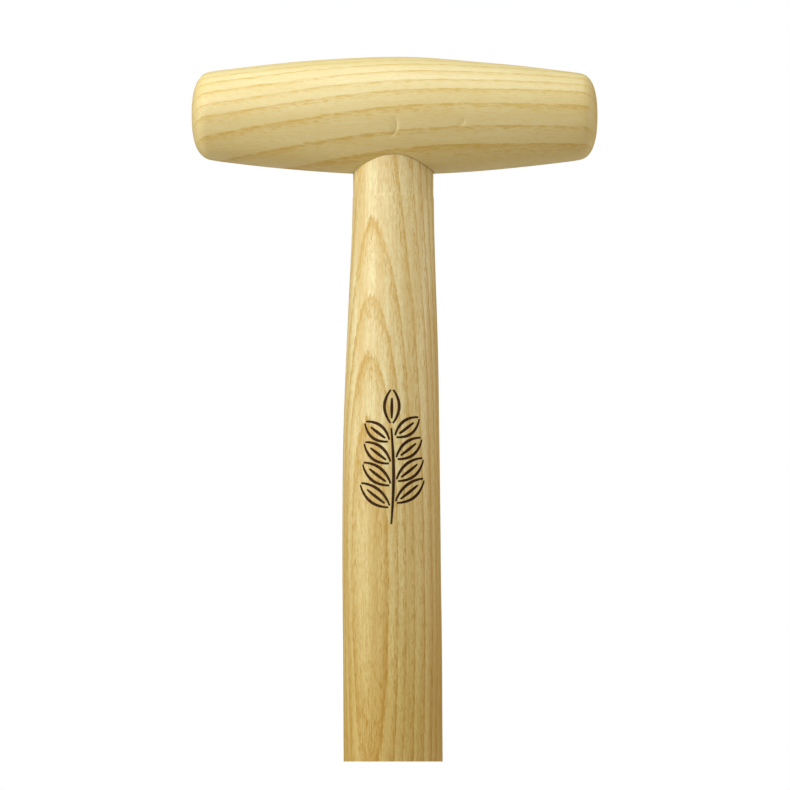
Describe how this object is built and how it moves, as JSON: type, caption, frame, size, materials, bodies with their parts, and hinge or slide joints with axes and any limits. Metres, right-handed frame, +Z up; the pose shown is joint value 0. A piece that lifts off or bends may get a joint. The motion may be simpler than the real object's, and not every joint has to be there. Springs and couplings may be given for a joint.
{
  "type": "long-handled garden dibber",
  "caption": "Long-handled dibber: ash T-grip and tapering ash shaft, riveted into a steel socket with foot treads and a conical point for making planting holes.",
  "frame": {"origin": "tip of the conical point, on the shaft's axis", "axes": "+Z up the shaft to the T-grip, the T-grip and the treads along X, the rivet heads and the front of the tool towards -Y"},
  "size_m": [0.15, 0.0434, 0.9517],
  "materials": {
    "grip_ash": "pale ash, finely sanded, thin wax",
    "dowel_ash": "ash dowel, sanded flush",
    "shaft_ash": "golden ash, sanded, thin wax",
    "dark_lacquer": "dark satin lacquer over rolled and forged steel",
    "worn_steel": "bare steel, polished by soil towards the tip",
    "rivet_steel": "bare mild steel, hammered"
  },
  "bodies": {
    "root": {"grip": "grip_ash", "grip_pin": "dowel_ash", "shaft": "shaft_ash", "socket": "dark_lacquer", "tread_left": "dark_lacquer", "tread_right": "dark_lacquer", "point": "worn_steel", "rivet_upper": "rivet_steel", "rivet_lower": "rivet_steel", "burr_upper": "rivet_steel", "burr_lower": "rivet_steel"}
  },
  "joints": []
}
